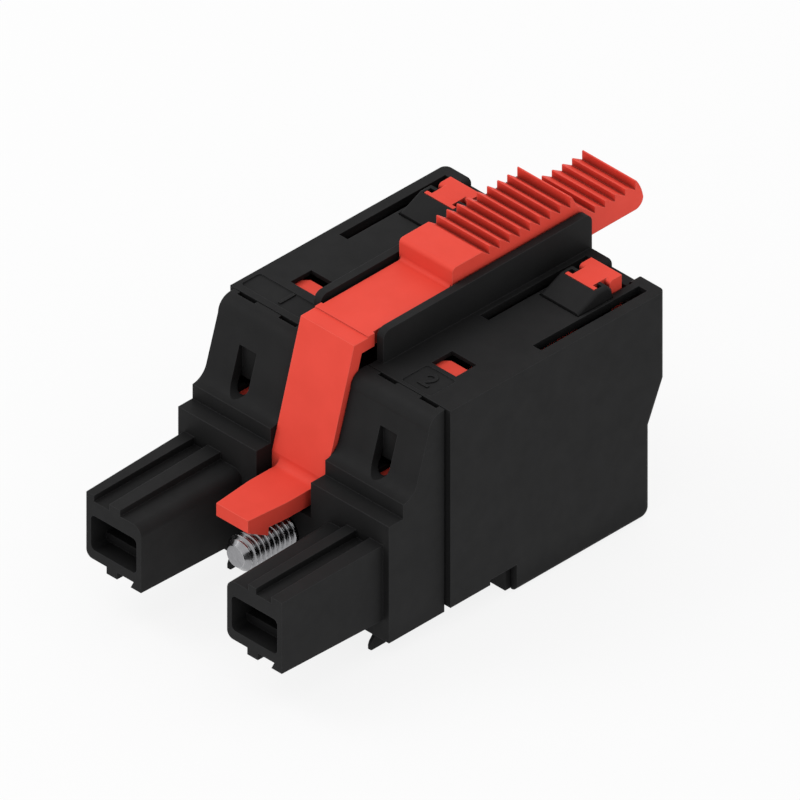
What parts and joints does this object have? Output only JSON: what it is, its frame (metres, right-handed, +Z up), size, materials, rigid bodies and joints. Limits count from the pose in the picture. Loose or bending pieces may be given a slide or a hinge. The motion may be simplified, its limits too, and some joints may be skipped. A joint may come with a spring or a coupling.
{
  "type": "pcb plug connector",
  "caption": "Plug connector for printed circuit boards with lever-operated spring clamps, mating sockets, a latch lever and a flange screw.",
  "frame": {"origin": "middle of the footprint, at the underside on which the plug rests", "axes": "+X along the row of poles, +Y from the mating face to the wire side, +Z up"},
  "size_m": [0.0318, 0.0624, 0.0334],
  "materials": {
    "black_plastic": "fine eroded mould texture",
    "red_plastic": "fine eroded mould texture",
    "zinc_plated_steel": "zinc plated",
    "spring_steel": "rolled strip",
    "tinned_copper": "tin plated"
  },
  "bodies": {
    "housing": {"clamp_housing": "black_plastic", "mating_cover": "black_plastic", "latch_spring": "spring_steel", "wire_entry_block_1": "black_plastic", "current_bar_1": "tinned_copper", "clamp_frame_1": "zinc_plated_steel", "clamping_spring_1": "spring_steel", "socket_contact_1": "tinned_copper", "contact_clip_1": "spring_steel", "wire_entry_block_2": "black_plastic", "current_bar_2": "tinned_copper", "clamp_frame_2": "zinc_plated_steel", "clamping_spring_2": "spring_steel", "socket_contact_2": "tinned_copper", "contact_clip_2": "spring_steel"},
    "latch": {"latch_lever": "red_plastic"},
    "release_1": {"release_lever_1": "red_plastic"},
    "release_2": {"release_lever_2": "red_plastic"},
    "screw": {"flange_screw": "zinc_plated_steel", "retaining_ring": "spring_steel"}
  },
  "joints": [
    {"name": "latch_pivot", "type": "hinge", "parent": "housing", "child": "latch", "pos_m": [0, 0.00034, 0.02505], "axis": [-1, 0, 0], "range_deg": [0, 5], "stiffness_Nm_per_rad": 0.2, "springref_deg": -2.86, "deforming": ["latch_spring"]},
    {"name": "release_pivot_1", "type": "hinge", "parent": "housing", "child": "release_1", "pos_m": [-0.01016, -0.01125, 0.0163], "axis": [-1, 0, 0], "range_deg": [0, 2.5], "stiffness_Nm_per_rad": 0.3, "springref_deg": -2.86, "deforming": ["clamping_spring_1"]},
    {"name": "release_pivot_2", "type": "hinge", "parent": "housing", "child": "release_2", "pos_m": [0.01016, -0.01125, 0.0163], "axis": [-1, 0, 0], "range_deg": [0, 2.5], "stiffness_Nm_per_rad": 0.3, "springref_deg": -2.86, "deforming": ["clamping_spring_2"]},
    {"name": "screw_turn", "type": "hinge", "parent": "housing", "child": "screw", "pos_m": [0, -0.01685, 0.00878], "axis": [0, 1, 0], "continuous": true}
  ]
}
